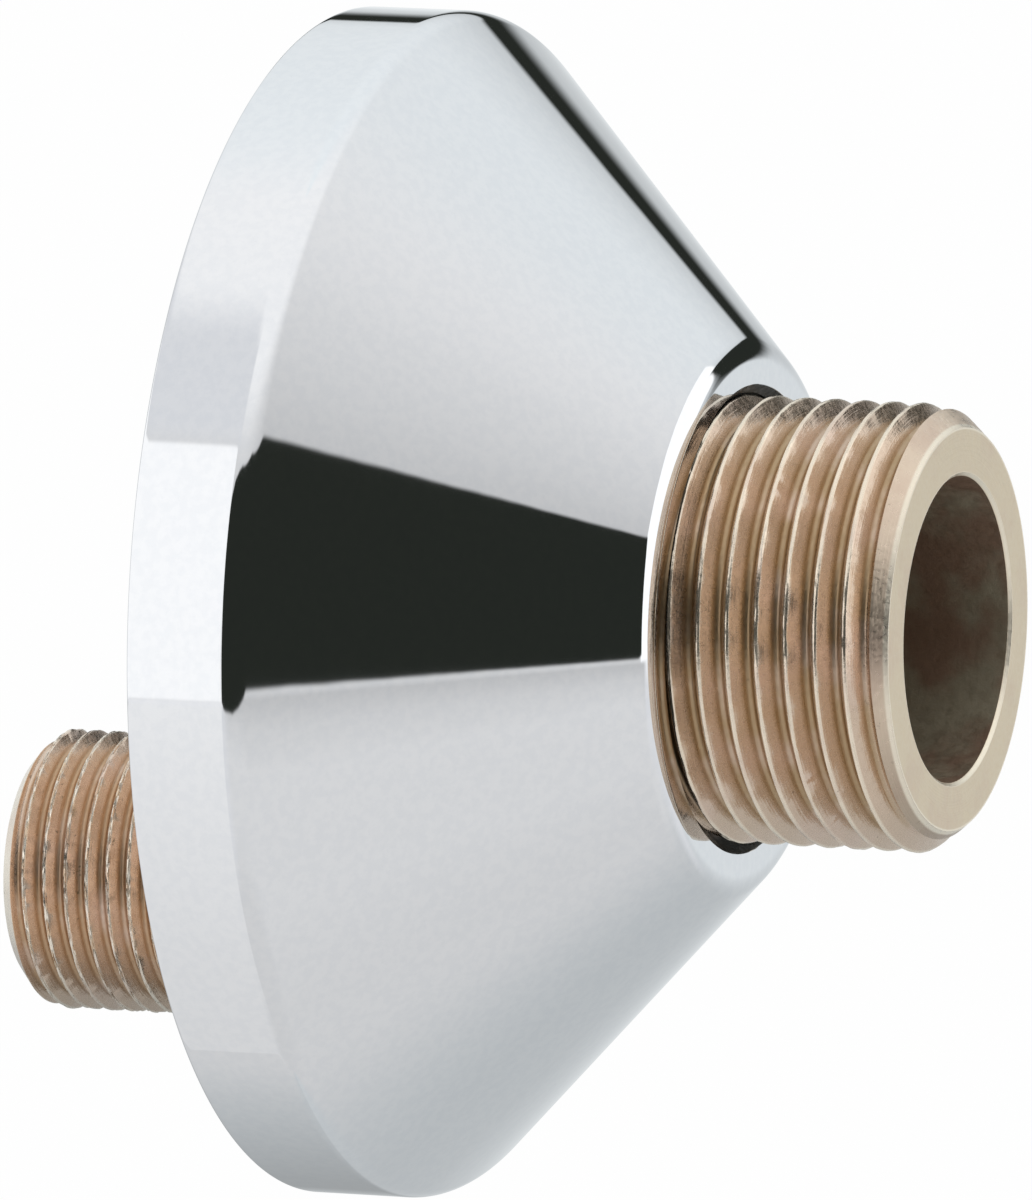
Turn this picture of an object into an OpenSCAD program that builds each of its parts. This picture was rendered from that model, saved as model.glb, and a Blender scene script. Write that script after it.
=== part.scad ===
// Offset wall union for a wall-mounted mixer, with its cone-shaped cover.
// The wall is the plane y = 0, the room is towards -Y and +Z is up.
// The origin is where the axis of the wall nipple meets the wall plane.

/* [Layout] */
// Height of the mixer thread's axis above the wall nipple's axis
axis_offset = 17; // [12:0.5:18]
// Distance from the wall plane to the sealing face
front_reach = 38.3; // [36:0.1:46]
// Distance from the wall plane to the end of the wall nipple
nipple_reach = 19.5; // [12:0.5:32]

/* [Mixer end] */
// Major diameter of the mixer thread
mixer_thread_d = 26.441; // [24:0.001:27]
// Distance from the wall plane to the back of the threaded barrel
barrel_back = 16; // [14:0.1:18]
// Width of the lead chamfer, along the axis
mixer_chamfer = 1.6; // [0.8:0.1:2.4]
// Fall of the lead chamfer, on the radius
mixer_chamfer_fall = 1.4; // [1.2:0.05:1.8]
// Diameter of the bore behind its bevel
mixer_bore_d = 18; // [15:0.1:19.4]
// Width of the bevel at the mouth of the bore
mixer_bore_bevel = 0.2; // [0.1:0.05:0.4]
// Depth of the bore before it narrows
mixer_bore_depth = 13.5; // [8:0.5:15]
// Length of the cone behind the threaded barrel
barrel_back_taper = 2.4; // [1:0.1:3]
// Width of the plain groove in front of the cover's mouth
seat_groove = 1.1; // [0.8:0.1:1.8]

/* [Wall end] */
// Major diameter of the wall thread
wall_thread_d = 16.662; // [15:0.001:17]
// Width of the lead chamfer, along the axis
wall_chamfer = 1.2; // [0.6:0.1:2]
// Fall of the lead chamfer, on the radius
wall_chamfer_fall = 1.4; // [1:0.05:1.6]
// Diameter of the bore through the nipple and the bent neck
waterway_d = 11.5; // [8:0.1:12]

/* [Bent neck] */
// Distance along the axes from the first bend's start to the second bend's end
neck_length = 20; // [19:0.5:21]
// Outside diameter of the neck
neck_d = 18; // [17:0.1:19]

/* [Cover] */
// Diameter of the cylindrical rim
cover_d = 70; // [64:0.5:80]
// Depth of the rim up to the corner with the cone
rim_depth = 6.7; // [5:0.1:9]
// Depth from the wall plane to the mouth
cover_depth = 25.2; // [23:0.1:30]
// Width of the ring between the collar's bore and the cone, in the mouth plane
mouth_width = 2.6; // [2:0.1:4]
// Wall thickness
cover_wall = 1.2; // [0.8:0.1:1.8]
// Radius of the shoulder between rim and cone
shoulder_r = 1.8; // [0.8:0.1:4]
// Radius of the nose between cone and mouth plane
nose_r = 1.2; // [0.4:0.1:2]
// Wall thickness of the collar behind the mouth
collar_wall = 1.7; // [1.2:0.1:2]
// Distance from the neck's front end back to the back of the collar
collar_inset = 0.8; // [0:0.1:1]
// Least thickness of the ring around the mouth
ring_wall = 0.7; // [0.4:0.1:1]
// Gap between the collar and the mixer thread, on the radius
collar_gap = 0.09; // [0.05:0.01:0.1]
// Width of the bevel around the mouth
mouth_bevel = 0.5; // [0.2:0.1:0.8]

/* [Hidden] */
$fn = 96;
mixer_r = mixer_thread_d / 2;
mixer_bore_r = mixer_bore_d / 2;
wall_r = wall_thread_d / 2;
waterway_r = waterway_d / 2;
cover_r = cover_d / 2;
collar_bore_r = mixer_r + collar_gap;
collar_r = collar_bore_r + collar_wall;
collar_back = neck_length - collar_inset;
mouth_r = collar_bore_r + mouth_width;

// The drilled ends of the waterway are this much wider than its cast S, and overlap it this far.
pilot_step = 0.3;
pilot_r = waterway_r + pilot_step;

// Two equal arcs, tangent to both axes, make the S of the neck.
bend_r = (axis_offset * axis_offset + neck_length * neck_length) / (4 * axis_offset);
bend_angle = 2 * atan(axis_offset / neck_length);

// Angle of the cone to the axis, and where its inner side starts and would meet the collar.
// The inner side stops at the back of the ring, if that comes first.
cone_angle = atan((cover_r - mouth_r) / (cover_depth - rim_depth));
inner_rim_depth = rim_depth - cover_wall * tan(cone_angle / 2);
inner_cone_meet = inner_rim_depth + (cover_r - cover_wall - collar_r) / tan(cone_angle);
inner_cone_end = min(inner_cone_meet, cover_depth - ring_wall);
inner_cone_r = cover_r - cover_wall - (inner_cone_end - inner_rim_depth) * tan(cone_angle);

// Both helpers spin a profile of radius and distance from the wall plane.
module spin_to_room() {
  rotate([90, 0, 0]) rotate_extrude() children();
}

module spin_to_wall() {
  rotate([-90, 0, 0]) rotate_extrude() children();
}

// What a corner loses when an arc of radius r takes its place.
// The arc's centre is at the origin and it starts on +X.
module corner_cut(r, turn) {
  reach = r + 1;
  difference() {
    polygon([
      [0, 0],
      [reach, 0],
      [reach, reach * tan(turn / 2)],
      [reach * cos(turn), reach * sin(turn)]
    ]);
    circle(r = r);
  }
}

// A round bar of radius r along the S, from the nipple's axis up to the mixer's.
// The halves are one arc and the same arc turned half round, and they meet at its middle.
module s_path(r) {
  translate([0, -neck_length / 2, axis_offset / 2]) rotate([90, 0, 90]) rotate(90 - bend_angle) {
    s_half(r);
    rotate(180) s_half(r);
  }
}

module s_half(r) {
  translate([-bend_r, 0, 0]) rotate_extrude(angle = bend_angle) translate([bend_r, 0]) circle(r = r);
}

// Threaded barrel for the mixer, with a lead chamfer and a conical back.
// One turn of the thread is a plain groove, between the free thread and the stretch under the cover.
module barrel() {
  groove_depth = 0.4;
  groove_r = mixer_r - groove_depth;
  translate([0, 0, axis_offset]) spin_to_room() polygon([
    [0, barrel_back],
    [mixer_r - barrel_back_taper, barrel_back],
    [mixer_r, barrel_back + barrel_back_taper],
    [mixer_r, cover_depth],
    [groove_r, cover_depth],
    [groove_r, cover_depth + seat_groove],
    [mixer_r, cover_depth + seat_groove],
    [mixer_r, front_reach - mixer_chamfer],
    [mixer_r - mixer_chamfer_fall, front_reach],
    [0, front_reach]
  ]);
}

// Nipple for the wall fitting. Its foot is sunk into the neck.
module nipple() {
  foot = -1;
  spin_to_wall() polygon([
    [0, foot],
    [wall_r, foot],
    [wall_r, nipple_reach - wall_chamfer],
    [wall_r - wall_chamfer_fall, nipple_reach],
    [0, nipple_reach]
  ]);
}

// Bore from the sealing face, then a drill-point cone down to a pilot that opens the cast waterway.
module mixer_bore() {
  drill_angle = 59;
  narrow = front_reach - mixer_bore_depth;
  cone_end = narrow - (mixer_bore_r - pilot_r) / tan(drill_angle);
  pilot_end = min(neck_length, cone_end) - pilot_step;
  bevel = mixer_bore_bevel;
  translate([0, 0, axis_offset]) spin_to_room() polygon([
    [0, pilot_end],
    [pilot_r, pilot_end],
    [pilot_r, cone_end],
    [mixer_bore_r, narrow],
    [mixer_bore_r, front_reach - bevel],
    [mixer_bore_r + 2 * bevel, front_reach + bevel],
    [0, front_reach + bevel]
  ]);
}

// Pilot from the nipple's end, to just past the start of the S.
module nipple_bore() {
  translate([0, -pilot_step, 0]) rotate([-90, 0, 0]) cylinder(h = nipple_reach + 1, r = pilot_r);
}

module union_body() {
  color([0.78, 0.66, 0.47]) difference() {
    union() {
      barrel();
      nipple();
      s_path(neck_d / 2);
    }
    mixer_bore();
    s_path(waterway_r);
    nipple_bore();
  }
}

// Thin shell: rim, shoulder, cone and nose outside, a collar around the thread inside.
module escutcheon() {
  color([0.86, 0.87, 0.88]) translate([0, 0, axis_offset]) spin_to_room() difference() {
    polygon([
      [cover_r - cover_wall, 0],
      [cover_r, 0],
      [cover_r, rim_depth],
      [mouth_r, cover_depth],
      [collar_bore_r + mouth_bevel, cover_depth],
      [collar_bore_r, cover_depth - mouth_bevel],
      [collar_bore_r, collar_back],
      [collar_r, collar_back],
      [collar_r, inner_cone_end],
      [inner_cone_r, inner_cone_end],
      [cover_r - cover_wall, inner_rim_depth]
    ]);
    translate([cover_r - shoulder_r, rim_depth - shoulder_r * tan(cone_angle / 2)])
      corner_cut(shoulder_r, cone_angle);
    translate([mouth_r - nose_r * tan(45 - cone_angle / 2), cover_depth - nose_r])
      rotate(cone_angle) corner_cut(nose_r, 90 - cone_angle);
  }
}

union_body();
escutcheon();
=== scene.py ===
# %% [markdown]
# # An offset wall union and its chrome cover
#
# The real object carries water from a pipe in the wall to a mixer, and its bent neck lets a fitter shift the
# mixer a little sideways. It is two pieces of metal: one brass casting with a pipe thread at each end, and a
# chrome-plated cover, shaped like a cone, that runs on the larger thread.
#
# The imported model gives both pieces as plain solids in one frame. The wall is the plane y = 0, the room is
# towards -Y, and the origin is on the axis of the small thread. Every mesh below is made in that same frame.

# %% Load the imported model
import math

import bmesh
import bpy
import numpy as np
from mathutils import Matrix, Vector


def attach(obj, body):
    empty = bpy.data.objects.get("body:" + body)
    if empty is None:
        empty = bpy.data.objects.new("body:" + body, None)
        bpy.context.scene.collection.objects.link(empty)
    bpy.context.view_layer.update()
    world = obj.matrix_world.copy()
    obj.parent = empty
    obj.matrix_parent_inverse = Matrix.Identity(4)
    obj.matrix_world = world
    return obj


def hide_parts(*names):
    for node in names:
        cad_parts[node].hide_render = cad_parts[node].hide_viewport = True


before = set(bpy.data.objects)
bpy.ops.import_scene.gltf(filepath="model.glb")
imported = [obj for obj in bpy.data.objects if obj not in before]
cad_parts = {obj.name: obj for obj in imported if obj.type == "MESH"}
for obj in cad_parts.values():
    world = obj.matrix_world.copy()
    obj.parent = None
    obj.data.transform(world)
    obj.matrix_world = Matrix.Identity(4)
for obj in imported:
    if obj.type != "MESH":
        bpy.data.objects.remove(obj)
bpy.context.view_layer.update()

MM = 0.001

# %% [markdown]
# ## Camera
#
# The photograph was taken from far away with a long lens, because both rims of the cover look almost equally
# large. A camera was fitted to the outline of the cover and of both threads, and its place, its axes and its
# focal length are written here as numbers. A matrix is the safest way to set a fitted camera, since no Euler
# angle has to be converted.

# %% Place the camera
IMAGE_HEIGHT_PX = 1200
FOCAL_PX = 25548.9
SENSOR_MM = 36
camera_right = Vector((0.36175267, -0.93217129, -0.01384574))
camera_up = Vector((0.15586883, 0.04583298, 0.98671386))
camera_back = Vector((-0.91915174, -0.35910449, 0.16187665))
camera_place = Vector((-1381.768, -550.427, 260.807)) * MM

camera_data = bpy.data.cameras.new("photo_camera")
camera_data.sensor_width = SENSOR_MM
camera_data.lens = FOCAL_PX * SENSOR_MM / IMAGE_HEIGHT_PX
camera_data.clip_start, camera_data.clip_end = 0.05, 30
camera = bpy.data.objects.new("photo_camera", camera_data)
columns = [(*axis, 0) for axis in (camera_right, camera_up, camera_back)] + [(*camera_place, 1)]
camera.matrix_world = Matrix(columns).transposed()
bpy.context.scene.collection.objects.link(camera)
bpy.context.scene.camera = camera
bpy.context.scene.view_settings.view_transform = "Standard"
print("lens", round(camera_data.lens, 1), "mm, distance", round(camera_place.length, 3), "m")

# %% [markdown]
# ## Helpers for nodes
#
# Shaders are built from many small nodes, so a helper that makes one node, fills its inputs and links them keeps
# each recipe readable. An input that is given a socket is linked, and any other value is set as a constant.

# %% Node helpers
def node(tree, kind, inputs=(), **settings):
    made = tree.nodes.new(kind)
    for name, value in settings.items():
        setattr(made, name, value)
    for key, value in dict(inputs).items():
        if isinstance(value, bpy.types.NodeSocket):
            tree.links.new(value, made.inputs[key])
        else:
            made.inputs[key].default_value = value
    return made


def calc(tree, operation, *values):
    return node(tree, "ShaderNodeMath", enumerate(values), operation=operation).outputs[0]


def ease(tree, value, low, high, start=0.0, end=1.0):
    """Runs smoothly from start to end while value runs from low to high."""
    return node(tree, "ShaderNodeMapRange", {"Value": value, "From Min": low, "From Max": high,
                                             "To Min": start, "To Max": end},
                interpolation_type="SMOOTHSTEP").outputs["Result"]


def blend(tree, share, first, second):
    """Runs from the first colour to the second while share runs from 0 to 1."""
    first, second = (c if isinstance(c, bpy.types.NodeSocket) else (*c, 1.0) for c in (first, second))
    return node(tree, "ShaderNodeMix", {0: share, 6: first, 7: second}, data_type="RGBA").outputs[2]


def ramp(tree, value, stops):
    """A line of straight pieces through (position, grey or colour)."""
    made = node(tree, "ShaderNodeValToRGB", {"Fac": value})
    elements = made.color_ramp.elements
    while len(elements) < len(stops):
        elements.new(0.5)
    for element, (position, colour) in zip(elements, stops):
        element.position = position
        element.color = (*colour, 1.0) if hasattr(colour, "__len__") else (colour, colour, colour, 1.0)
    return made.outputs["Color"]


# %% [markdown]
# ## Studio
#
# Polished chrome shows the room rather than a colour of its own. So the room is designed first, as a product
# photographer does with a white tent and cards. Real cards could stand around the object, but here they are drawn
# into the world by direction. That gives no noise, and no card stands in the way of another view.
#
# A direction is read as two angles. The bearing is 0 towards the room (-Y) and 90 towards +X, and the height is
# 0 at the horizon. On the cone each straight line from rim to mouth mirrors one single direction, so the edges
# of the black patch in the photograph tell where the black card began and ended.

# %% World: the angles of a direction
world = bpy.data.worlds.new("studio")
bpy.context.scene.world = world
world.use_nodes = True
sky = world.node_tree
sky.nodes.clear()
direction = node(sky, "ShaderNodeTexCoord").outputs["Generated"]
axes = node(sky, "ShaderNodeSeparateXYZ", {"Vector": direction})
toward_room = calc(sky, "MULTIPLY", axes.outputs["Y"], -1.0)
bearing = calc(sky, "DEGREES", calc(sky, "ARCTAN2", axes.outputs["X"], toward_room))
height = calc(sky, "DEGREES", calc(sky, "ARCSINE", axes.outputs["Z"]))
print("world:", world.name)

# %% [markdown]
# The tent and the tabletop under it change with the height, and from side to side. Ramps over the height hold the
# sides, and smooth shares of the bearing blend them. The cover's cone mirrors the room up to a bearing of about 110
# degrees, and its rim mirrors what lies farther round, where the photograph shows more shade. So the back of the
# room has a ramp of its own.

# %% World: tent and tabletop
turn = calc(sky, "DIVIDE", calc(sky, "ADD", bearing, 180.0), 360.0)
rise = calc(sky, "DIVIDE", calc(sky, "ADD", height, 90.0), 180.0)


def by_height(stops, tint=(1, 1, 1)):
    """A ramp through (height in degrees, grey)."""
    return ramp(sky, rise, [((degrees + 90.0) / 180.0, [grey * t for t in tint]) for degrees, grey in stops])


COOL = (0.945, 0.985, 1.0)
near_side = by_height([(-90, 0.68), (-60, 0.70), (-48, 0.71), (-36, 0.76), (-20, 0.77), (-14, 0.70), (-9.5, 0.58),
                       (-9, 0.75), (18, 0.58), (24, 0.63), (28, 0.68), (36, 0.77), (45, 0.92), (52, 0.99), (90, 1.0)])
far_side = by_height([(-90, 0.70), (-65, 0.62), (-45, 0.57), (-33, 0.58), (-24, 0.64), (-16, 0.73), (-10, 0.82),
                      (-6, 0.80), (-1, 0.68), (4, 0.60), (12, 0.60), (20, 0.79), (28, 0.89), (45, 0.94), (90, 1.0)],
                     COOL)
back_side = by_height([(-90, 0.66), (-60, 0.54), (-45, 0.46), (-33, 0.41), (-24, 0.39), (-17, 0.50), (-12, 0.62),
                       (-8, 0.72), (-3, 0.95), (1, 0.86), (6, 0.70), (14, 0.66), (20, 0.86), (28, 0.90), (90, 1.0)],
                      COOL)
FAR_BEARING = math.radians(97)
JUST_OVER_ONE = 1.0001  # keeps the length above 0 straight up and straight down
flat_length = calc(sky, "SQRT", calc(sky, "SUBTRACT", JUST_OVER_ONE, calc(sky, "POWER", axes.outputs["Z"], 2.0)))
facing_far = calc(sky, "DIVIDE", calc(sky, "ADD",
                                      calc(sky, "MULTIPLY", axes.outputs["X"], math.sin(FAR_BEARING)),
                                      calc(sky, "MULTIPLY", toward_room, math.cos(FAR_BEARING))), flat_length)
far_share = ease(sky, facing_far, 0.15, 0.97)
back_share = ease(sky, bearing, 107.0, 113.0)
room = blend(sky, far_share, near_side, blend(sky, back_share, far_side, back_side))
print("tent and tabletop:", len(sky.nodes), "nodes")

# %% [markdown]
# Each card is drawn between two lines, its foot and its top, given as heights over the bearing. A straight edge
# that leads away from the object sinks or rises in this picture of the room, and that is why the lines slope.
#
# - A black card beside the camera makes the dark patch on the cone.
# - A white card at the left makes the bright field on the rim, with a thin line of shade under it. The tent above
#   it, the tabletop before it and the floor of the tent farther round have patches with tones of their own.
# - A white card at the right fills the nose of the cover with light. It lights the tabletop before it, most of all
#   in a narrow glow along its foot.
# - A dark panel behind the right card narrows to a slot, and draws the black line along the top of the cover.

# %% World: cards
def card(top, foot, soft_top=0.5, soft_foot=0.5):
    """1 between the two lines, and 0 outside. Each line is a list of (bearing, height) corners."""
    mask = 1.0
    for corners, soft, up in ((top, soft_top, 1), (foot, soft_foot, -1)):
        line = ramp(sky, turn, [((b + 180.0) / 360.0, (h + 90.0) / 180.0) for b, h in corners])
        above = calc(sky, "MULTIPLY", calc(sky, "SUBTRACT", rise, line), 180.0 * up)
        mask = calc(sky, "MULTIPLY", mask, ease(sky, above, -soft, soft, 1.0, 0.0))
    return mask


def over_bearings(mask, first, last, soft=1.0):
    """The same mask, only between two bearings."""
    sides = calc(sky, "MULTIPLY", ease(sky, bearing, first - soft, first + soft),
                 ease(sky, bearing, last - soft, last + soft, 1.0, 0.0))
    return calc(sky, "MULTIPLY", mask, sides)


left_tent = over_bearings(card([(-180, 58), (-100, 58)], [(-180, 37), (-100, 37)], 5.0, 3.0), -200, -104, 6.0)
left_card = over_bearings(card([(-180, 34), (-150, 34), (-113, 35.6), (-108, 36)],
                               [(-180, -10.3), (-97, -10.3)]), -200, -110.6, 0.6)
left_gap = over_bearings(card([(-150, -10.3), (-100, -10.3)], [(-150, -11.1), (-100, -11.1)], 0.2, 0.2), -150, -106)
left_table = over_bearings(card([(-160, -11), (-80, -11)], [(-160, -42), (-80, -42)], 0.5, 9.0), -160, -98, 16.0)
left_floor = over_bearings(card([(-180, -10.8), (-100, -10.8)], [(-180, -72), (-100, -72)], 0.3, 9.0),
                           -200, -111, 0.8)
left_floor_tone = by_height([(-90, 0.74), (-60, 0.78), (-45, 0.83), (-27, 0.88), (-15, 0.92), (0, 0.95)])
right_card = over_bearings(
    card([(-12, 20), (-6, 25.5), (0, 30), (12, 36), (24, 38.6), (39, 38.6), (48, 37), (57, 34.5)],
         [(-12, -9.2), (57, -9.2)]), -13, 57)
right_table = over_bearings(card([(0, -9), (66, -9)], [(0, -25), (66, -25)], 0.5, 9.0), 2, 58, 5.0)
right_glow = over_bearings(card([(0, -9), (66, -9)], [(0, -11.5), (66, -11.5)], 0.5, 2.0), 8, 50, 4.0)
black_card = over_bearings(
    card([(-112, 21), (-109, 27), (-102, 30.8), (-90, 33), (-80, 33.6), (-47, 31.2), (-13, 22.2), (4, 17)],
         [(-112, -10), (-104, -11.6), (-96, -12), (-72, -12.3), (-51, -11.2), (-30, -9.6), (-20, -8.5), (-12, -7.8),
          (4, -7)]),
    -110.4, -9.5, 0.6)
panel = over_bearings(
    card([(53, 20), (58, 20.5), (67, 19), (80, 16.8), (88, 13.7), (100, 12.9), (107, 13.6), (113, 16.3), (126, 17)],
         [(54.5, 20), (55.3, 13), (57, 8), (59.5, 2.5), (62, -2.7), (67, -8.2), (70, -3), (74, 1), (79, 4), (86, 6.3),
          (100, 7.0), (107, 7.6), (113, 9.2), (126, 9.8)], 0.7, 3.2), 54, 126, 2.0)

for mask, tone in (
    (left_tent, (0.78, 0.79, 0.81)), (left_table, (0.79, 0.795, 0.81)), (left_floor, left_floor_tone),
    (right_table, (0.81, 0.815, 0.83)), (right_glow, (0.98, 0.98, 0.98)), (left_card, (1.10, 1.10, 1.10)),
    (left_gap, (0.93, 0.93, 0.94)), (right_card, (1.20, 1.20, 1.20)), (black_card, (0.021, 0.024, 0.020)),
    (panel, (0.022, 0.025, 0.021)),
):
    room = blend(sky, mask, room, tone)
print("with the cards:", len(sky.nodes), "nodes")

# %% [markdown]
# The backdrop is white to the camera at a strength of 1. All other rays meet the tent at a plain level, and the
# part of the room behind the object is pale for the metal too, so the outer edges of the cover fade into it.

# %% World: output
ray = node(sky, "ShaderNodeLightPath")
tent_light = node(sky, "ShaderNodeBackground", {"Color": room, "Strength": 1.0})
white_backdrop = node(sky, "ShaderNodeBackground", {"Color": (1, 1, 1, 1), "Strength": 1.0})
seen = node(sky, "ShaderNodeMixShader", {0: ray.outputs["Is Camera Ray"], 1: tent_light.outputs[0],
                                         2: white_backdrop.outputs[0]})
node(sky, "ShaderNodeOutputWorld", {"Surface": seen.outputs[0]})
world.cycles.sampling_method = "MANUAL"
world.cycles.sample_map_resolution = 1024
print("world nodes:", len(sky.nodes))

# %% [markdown]
# ## Meshes that wind with the thread
#
# A pipe thread is a groove cut along a helix. A displacement texture could fake it, but its crests would crawl over
# the facets. Here the rows of the mesh follow the helix itself, so each crest, flank and root is one unbroken line
# of edges. At the ends the rows are pushed back onto the end plane, and the points that meet there are merged.
#
# Both threads are right-handed pipe threads: straight flanks at 55 degrees, joined by round crests and roots. The
# worn crests stay a little under their nominal size, so the arcs are chosen to give the depth seen in the photograph.

# %% Thread profile
INCH = 25.4
HALF_FLANK = math.radians(27.5)
ARC_ROWS = (24, 45, 62.5)  # degrees from the middle of an arc; the last is where the flank starts


def pipe_thread(turns_per_inch, crest_r, root_r, start, crest_share_of_arcs):
    """start: distance along the axis where a crest crosses the top. All lengths are in mm."""
    pitch = INCH / turns_per_inch
    sharp_depth = pitch / 2 / math.tan(HALF_FLANK)
    arcs = (sharp_depth - (crest_r - root_r)) / (1 / math.sin(HALF_FLANK) - 1)
    return {"pitch": pitch, "crest_r": crest_r, "root_r": root_r, "start": start,
            "crest_arc": arcs * crest_share_of_arcs, "root_arc": arcs * (1 - crest_share_of_arcs)}


def thread_radius(phase, thread):
    """Radius at a share of a turn from the crest."""
    x = np.abs((phase + 0.5) % 1.0 - 0.5) * thread["pitch"]
    crest, root, middle = thread["crest_arc"], thread["root_arc"], thread["pitch"] / 2
    flank = thread["crest_r"] + crest / math.sin(HALF_FLANK) - crest - x / math.tan(HALF_FLANK)
    on_crest = thread["crest_r"] - crest + np.sqrt(np.maximum(crest ** 2 - x ** 2, 0))
    on_root = thread["root_r"] + root - np.sqrt(np.maximum(root ** 2 - (middle - x) ** 2, 0))
    radius = np.where(x < crest * math.cos(HALF_FLANK), on_crest, flank)
    return np.where(middle - x < root * math.cos(HALF_FLANK), on_root, radius)


def row_phases(thread):
    """Shares of a turn where the mesh gets a row: the middle of each arc and three on both sides of it."""
    rows = [0.0, 0.5]
    for arc_r, centre in ((thread["crest_arc"], 0.0), (thread["root_arc"], 0.5)):
        for degrees in ARC_ROWS:
            step = arc_r * math.sin(math.radians(degrees)) / thread["pitch"]
            rows += [(centre + step) % 1.0, (centre - step) % 1.0]
    return np.array(sorted(rows))


MIXER = pipe_thread(turns_per_inch=14, crest_r=13.15, root_r=11.96, start=28.337, crest_share_of_arcs=0.33)
WALL = pipe_thread(turns_per_inch=19, crest_r=8.27, root_r=7.44, start=5.99, crest_share_of_arcs=0.36)
print("crest arcs", round(MIXER["crest_arc"], 3), round(WALL["crest_arc"], 3), "mm")

# %% [markdown]
# A point of a turned surface is given by its angle round the axis, its distance along the axis and its radius.
# One function puts it on the mixer's axis, which points into the room, and one on the nipple's axis, which points
# into the wall. Both turn the same way round their own axis, so one winding rule serves both threads.

# %% Turned surfaces
AXIS_HEIGHT = 17.0
SPARE_TURNS = 2  # the rows start and end this far past the sleeve, and are pushed back onto its ends
MERGE_DISTANCE = 0.0004


def on_mixer_axis(angle, along, radius):
    return np.stack([-radius * np.sin(angle), -along + 0 * radius, AXIS_HEIGHT + radius * np.cos(angle)], -1)


def on_wall_axis(angle, along, radius):
    return np.stack([radius * np.sin(angle), along + 0 * radius, radius * np.cos(angle)], -1)


def quads(corners, segments):
    """Faces from the (ring, place in the ring) of their four corners."""
    return np.stack([r * segments + c for r, c in corners], -1).reshape(-1, 4)


def ring_faces(rings, segments):
    """Faces between neighbouring rings of points."""
    row, column = np.meshgrid(np.arange(rings - 1), np.arange(segments), indexing="ij")
    right = (column + 1) % segments
    return quads([(row, column), (row, right), (row + 1, right), (row + 1, column)], segments)


def winding_grid(place, thread, first, last, segments, radius_rule):
    """Points and faces of a sleeve between two ends. radius_rule gives the radius from phase, place and turn."""
    turn_first = math.floor((first - thread["start"]) / thread["pitch"]) - SPARE_TURNS
    turn_last = math.ceil((last - thread["start"]) / thread["pitch"]) + SPARE_TURNS
    turns = np.arange(turn_first, turn_last)
    phases = row_phases(thread)
    rows = (turns[:, None] + phases[None, :]).ravel()
    columns = np.arange(segments) / segments
    raw = thread["start"] + thread["pitch"] * (rows[:, None] + columns[None, :])
    along = np.clip(raw, first, last)
    radius = radius_rule(rows[:, None] + 0 * columns, along, rows[:, None] + columns[None, :])
    points = place(2 * math.pi * columns[None, :] + 0 * raw, along, radius).reshape(-1, 3)
    step = len(phases)
    row, column = np.meshgrid(np.arange(len(rows) - step - 1), np.arange(segments), indexing="ij")
    wrapped = column + 1 == segments
    right = np.where(wrapped, 0, column + 1)
    jump = np.where(wrapped, step, 0)
    corners = [(row, column), (row + jump, right), (row + jump + 1, right), (row + 1, column)]
    return points, quads(corners, segments)


def lathe_grid(place, profile, segments):
    """Points and faces of a turned surface through (along, radius) points."""
    profile = np.array(profile, float)
    angle = 2 * math.pi * np.arange(segments) / segments
    points = place(angle[None, :] + 0 * profile[:, :1], profile[:, :1] + 0 * angle[None, :],
                   profile[:, 1:] + 0 * angle[None, :]).reshape(-1, 3)
    return points, ring_faces(len(profile), segments)


def solid_mesh(name, grids):
    """One closed mesh from grids in mm: meeting points are merged and open rings are filled."""
    build = bmesh.new()
    for points, faces in grids:
        corners = [build.verts.new(p) for p in points.tolist()]
        for face in faces.tolist():
            build.faces.new([corners[i] for i in face])
    bmesh.ops.remove_doubles(build, verts=build.verts, dist=MERGE_DISTANCE)
    loose = [v for v in build.verts if not v.link_faces]
    bmesh.ops.delete(build, geom=loose, context="VERTS")
    open_edges = [e for e in build.edges if e.is_boundary]
    bmesh.ops.holes_fill(build, edges=open_edges)
    bmesh.ops.recalc_face_normals(build, faces=build.faces)
    bmesh.ops.scale(build, vec=(MM, MM, MM), verts=build.verts)
    faulty = sum(not e.is_manifold for e in build.edges)
    mesh = bpy.data.meshes.new(name)
    build.to_mesh(mesh)
    build.free()
    print(name, len(mesh.polygons), "faces,", faulty, "open or doubled edges")
    return mesh


def link_object(name, mesh):
    made = bpy.data.objects.new(name, mesh)
    bpy.context.scene.collection.objects.link(made)
    return made


print("rows in a turn:", len(row_phases(MIXER)))

# %% [markdown]
# ## The brass union
#
# The real body is cast, then drilled, turned and threaded. Here the threaded barrel, the threaded nipple and the
# bent neck are joined into one casting, and the waterway is cut through it in one go.
#
# The barrel starts with a cone at its back and ends in a lead chamfer. On the lathe the blank is turned first and the
# thread is cut into it. Here the sleeve that winds with the thread is a little longer than the blank, and what the
# two have in common is the threaded end. So the groove runs out on the chamfer in one clean line.
#
# The large thread gets small dings along its crest. The small one looks battered in the photograph, so it gets nicks
# that cut deep and hardly stand out.

# %% Threaded ends
BARREL = {"back": 16.0, "back_taper": 2.4, "front": 38.3, "chamfer": 1.6, "fall": 1.4, "major_r": 13.2205}
NIPPLE = {"foot": -1.0, "end": 19.5, "chamfer": 1.2, "fall": 1.4, "major_r": 8.331}
BARREL_SEGMENTS, NIPPLE_SEGMENTS = 232, 184
SLEEVE_OVERRUN = 0.4
CREST_REACH = 0.16
DINGS = ((0.02, 0.008), (0.025, 0.03))  # (size in mm, period in turns)
NICKS = ((0.9, 0.021), (0.5, 0.009))  # (share of the depth, period in turns)
NICK_DEPTH, NICK_LIMITS = 0.15, (-1.0, 0.35)
chance = np.random.RandomState(11)


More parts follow.
